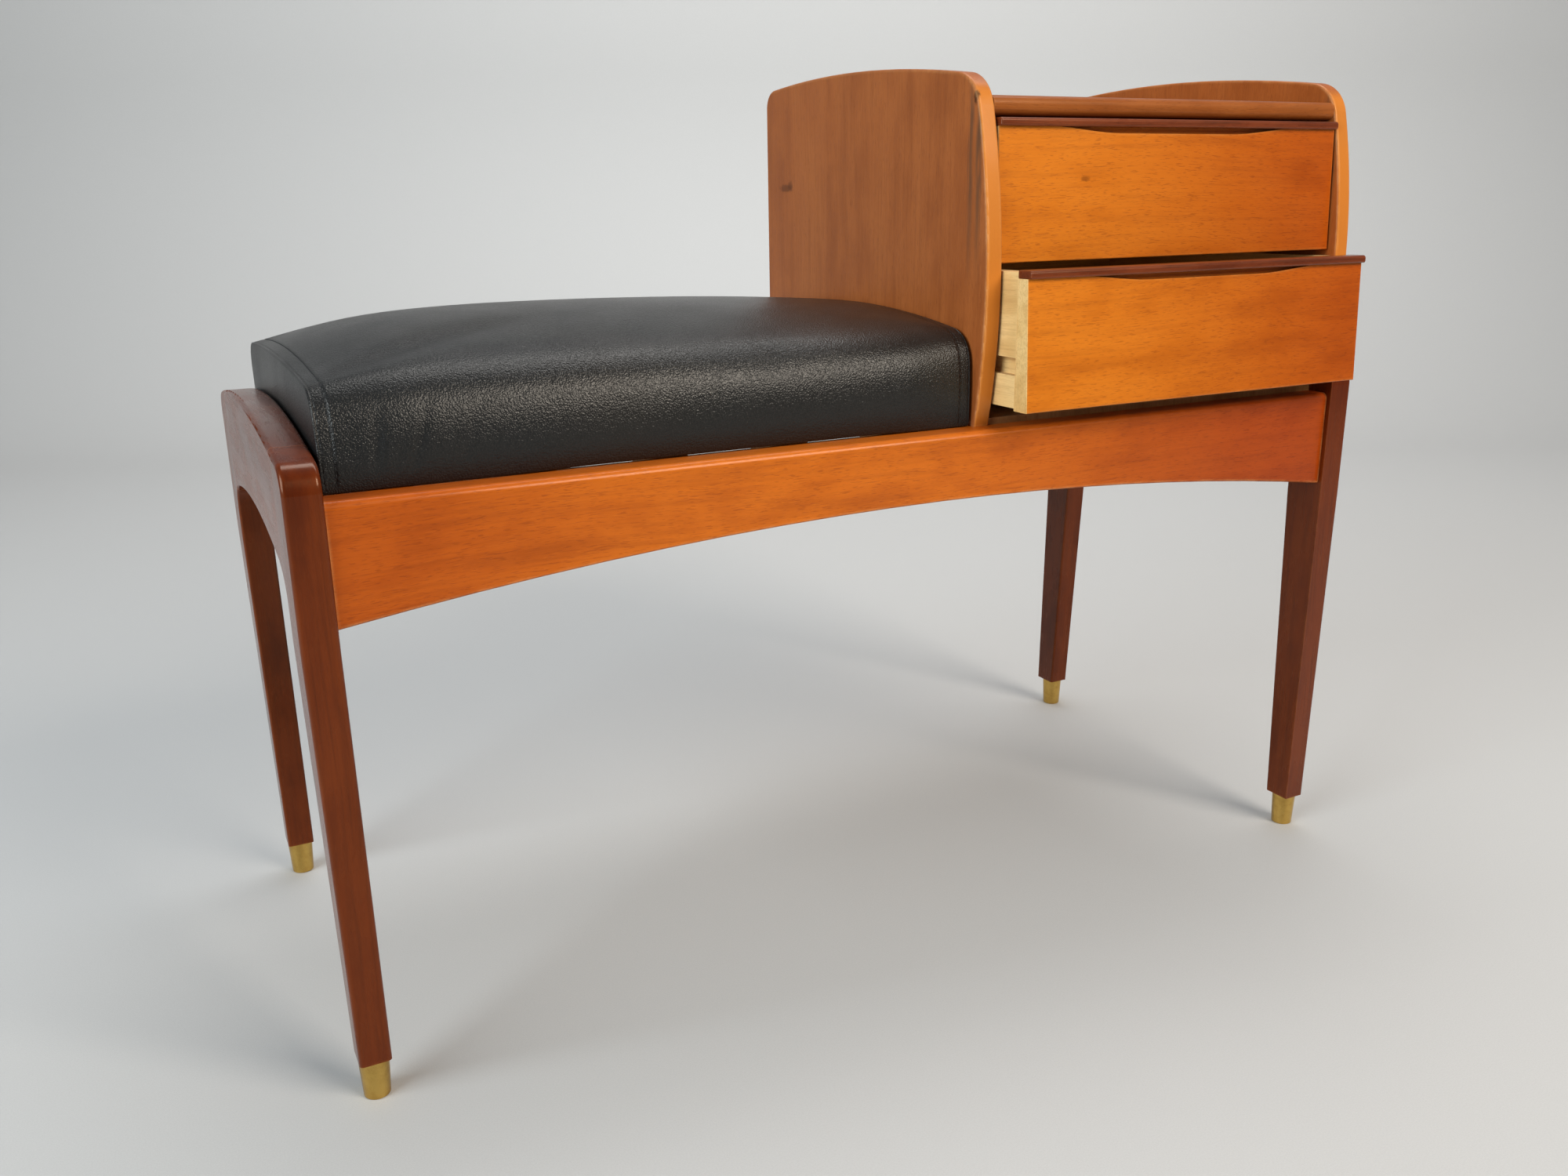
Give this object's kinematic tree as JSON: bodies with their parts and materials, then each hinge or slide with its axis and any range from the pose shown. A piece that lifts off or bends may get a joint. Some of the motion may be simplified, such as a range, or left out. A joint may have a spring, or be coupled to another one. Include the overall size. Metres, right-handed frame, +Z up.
{
  "type": "telephone bench",
  "caption": "Telephone bench: padded seat on arched end frames with brass-tipped tapered legs, beside a low drawer cabinet with a shelf top.",
  "frame": {"origin": "on the floor, under the middle of the bench's bounding box with its lower drawer a little open", "axes": "+Z up, +X along the bench from the seat end to the cabinet end, drawers open towards -Y"},
  "size_m": [0.88, 0.3999, 0.679],
  "materials": {
    "teak": "satin",
    "dark_leg_wood": "gloss",
    "rosewood": "satin",
    "drawer_wood": "matte",
    "beech": "matte",
    "plywood": "matte",
    "brass": "polished",
    "black_vinyl": "satin",
    "foam": "matte",
    "screw_steel": "satin"
  },
  "bodies": {
    "bench": {"back_apron": "teak", "back_left_block": "beech", "back_left_ferrule": "brass", "back_right_block": "beech", "back_right_ferrule": "brass", "back_seat_cleat": "beech", "block_screws": "screw_steel", "cabinet_back": "plywood", "cabinet_bearer": "beech", "cabinet_bottom": "plywood", "cabinet_dowels": "beech", "cheek_screws": "screw_steel", "cleat_screws": "screw_steel", "frame_dowels": "beech", "front_apron": "teak", "front_left_block": "beech", "front_left_ferrule": "brass", "front_right_block": "beech", "front_right_ferrule": "brass", "front_seat_cleat": "beech", "left_back_leg": "dark_leg_wood", "left_cheek": "teak", "left_end_rail": "dark_leg_wood", "left_front_leg": "dark_leg_wood", "lower_left_runner": "beech", "lower_right_runner": "beech", "right_back_leg": "dark_leg_wood", "right_cheek": "teak", "right_end_rail": "dark_leg_wood", "right_front_leg": "dark_leg_wood", "runner_screws": "screw_steel", "seat_board": "plywood", "seat_cushion": "black_vinyl", "seat_foam": "foam", "seat_screws": "screw_steel", "seat_slat_1": "beech", "seat_slat_2": "beech", "seat_slat_3": "beech", "seat_slat_4": "beech", "seat_slat_5": "beech", "shelf_board": "teak", "slat_screws": "screw_steel", "upper_left_runner": "beech", "upper_right_runner": "beech"},
    "upper_drawer": {"upper_drawer_back": "drawer_wood", "upper_drawer_bottom": "plywood", "upper_drawer_front": "teak", "upper_drawer_left_side": "drawer_wood", "upper_drawer_pull": "rosewood", "upper_drawer_right_side": "drawer_wood"},
    "lower_drawer": {"lower_drawer_back": "drawer_wood", "lower_drawer_bottom": "plywood", "lower_drawer_front": "teak", "lower_drawer_left_side": "drawer_wood", "lower_drawer_pull": "rosewood", "lower_drawer_right_side": "drawer_wood"}
  },
  "joints": [
    {"name": "upper_drawer_slide", "type": "slide", "parent": "bench", "child": "upper_drawer", "axis": [0, -1, 0], "range_m": [0, 0.24]},
    {"name": "lower_drawer_slide", "type": "slide", "parent": "bench", "child": "lower_drawer", "axis": [0, -1, 0], "range_m": [-0.0415, 0.1985]}
  ]
}
